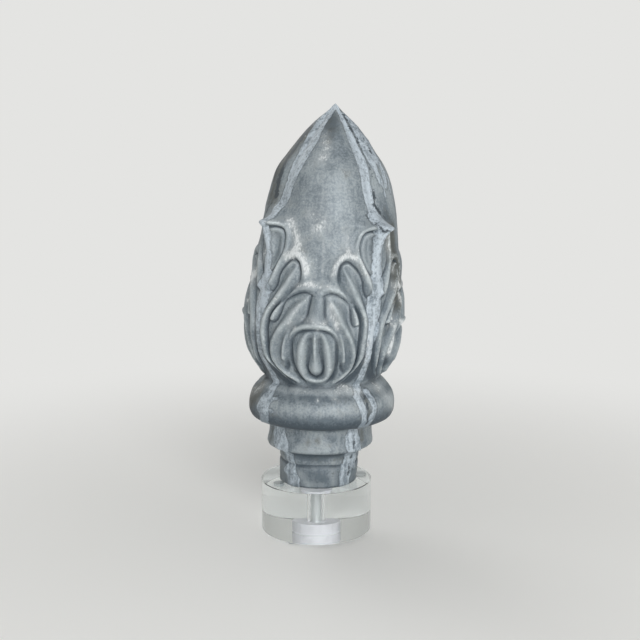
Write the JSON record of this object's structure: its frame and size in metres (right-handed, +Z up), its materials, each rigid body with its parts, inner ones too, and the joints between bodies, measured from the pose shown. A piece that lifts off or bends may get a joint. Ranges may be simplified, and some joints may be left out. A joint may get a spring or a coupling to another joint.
{
  "type": "roof finial on a clear stand",
  "caption": "Bud-shaped roof finial of pressed sheet zinc with acanthus leaves on its corners, bolted upright to a round clear acrylic base on small clear feet.",
  "frame": {"origin": "on the surface the stand rests on, under the middle of the widest part of the bud", "axes": "+Z up, -Y towards the front of the finial, +X to the viewer's right, the way the finial leans"},
  "size_m": [0.1109, 0.1108, 0.2922],
  "materials": {
    "zinc": "weathered sheet zinc with pale solder along its seams and white oxide on the carving",
    "acrylic": "polished clear acrylic, frosted where it is drilled",
    "steel": "plated steel",
    "clear_rubber": "clear soft polyurethane"
  },
  "bodies": {
    "root": {"finial": "zinc", "base": "acrylic", "bolt": "steel", "foot_1": "clear_rubber", "foot_2": "clear_rubber", "foot_3": "clear_rubber", "foot_4": "clear_rubber"}
  },
  "joints": []
}
